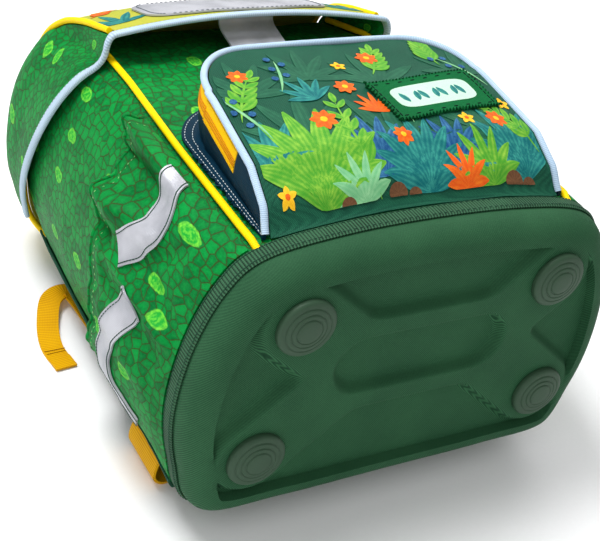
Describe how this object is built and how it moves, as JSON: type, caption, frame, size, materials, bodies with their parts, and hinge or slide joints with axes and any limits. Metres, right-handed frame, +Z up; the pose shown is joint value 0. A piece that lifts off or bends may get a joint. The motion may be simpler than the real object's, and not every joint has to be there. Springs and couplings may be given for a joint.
{
  "type": "school ransel",
  "caption": "Boxy child's school backpack lying on its back: flap, curved front pocket with zip, gathered side pockets, moulded base with rubber feet and padded shoulder straps.",
  "frame": {"origin": "on the ground plane, under the middle of the outline seen from above, with the bag lying on its back", "axes": "+Y from the base with the feet to the flap, +Z up out of the front pocket, +X across the bag"},
  "size_m": [0.3384, 0.3924, 0.2532],
  "materials": {
    "scale_print": "woven polyester printed with green scales",
    "pocket_print": "dark green woven polyester with printed leaves",
    "flap_print": "woven polyester with a bright leaf print",
    "base_cloth": "dark green twill over a moulded tray",
    "dark_tape": "ribbed dark green tape with stitching",
    "navy_cloth": "navy woven polyester with light stitching",
    "light_binding": "pale blue-grey ribbed binding",
    "yellow_trim": "yellow cord piping and webbing",
    "zip_tape": "yellow zip tape with a covered coil",
    "label_felt": "dark green felt patch with a printed face",
    "reflective": "silver-grey reflective tape",
    "foot_rubber": "grey-green moulded rubber",
    "buckle_plastic": "dark moulded plastic"
  },
  "bodies": {
    "root": {"body_shell": "scale_print", "body_piping_left": "yellow_trim", "body_piping_right": "yellow_trim", "base_tray": "base_cloth", "base_tape": "dark_tape", "foot_front_left": "foot_rubber", "foot_front_right": "foot_rubber", "foot_rear_left": "foot_rubber", "foot_rear_right": "foot_rubber", "flap_top": "flap_print", "flap_wing_left": "scale_print", "flap_wing_right": "scale_print", "flap_piping_left": "yellow_trim", "flap_piping_right": "yellow_trim", "flap_binding": "light_binding", "flap_reflector": "reflective", "closure_tape": "reflective", "closure_loop": "reflective", "pocket_gusset": "navy_cloth", "zip_end_left": "navy_cloth", "zip_end_right": "navy_cloth", "pocket_zip": "zip_tape", "pocket_face": "pocket_print", "pocket_piping": "light_binding", "label_patch": "label_felt", "side_pocket_left": "scale_print", "side_pocket_right": "scale_print", "side_strip_front_left": "reflective", "side_strip_front_right": "reflective", "side_strip_rear_left": "reflective", "side_strip_rear_right": "reflective", "back_pad": "base_cloth", "edge_binding_left": "dark_tape", "edge_binding_right": "dark_tape", "shoulder_strap_left": "navy_cloth", "shoulder_strap_right": "navy_cloth", "strap_buckle_left": "buckle_plastic", "strap_buckle_right": "buckle_plastic", "webbing_anchor_left": "yellow_trim", "webbing_anchor_right": "yellow_trim", "webbing_tail_left": "yellow_trim", "webbing_tail_right": "yellow_trim", "carry_handle": "navy_cloth"}
  },
  "joints": []
}
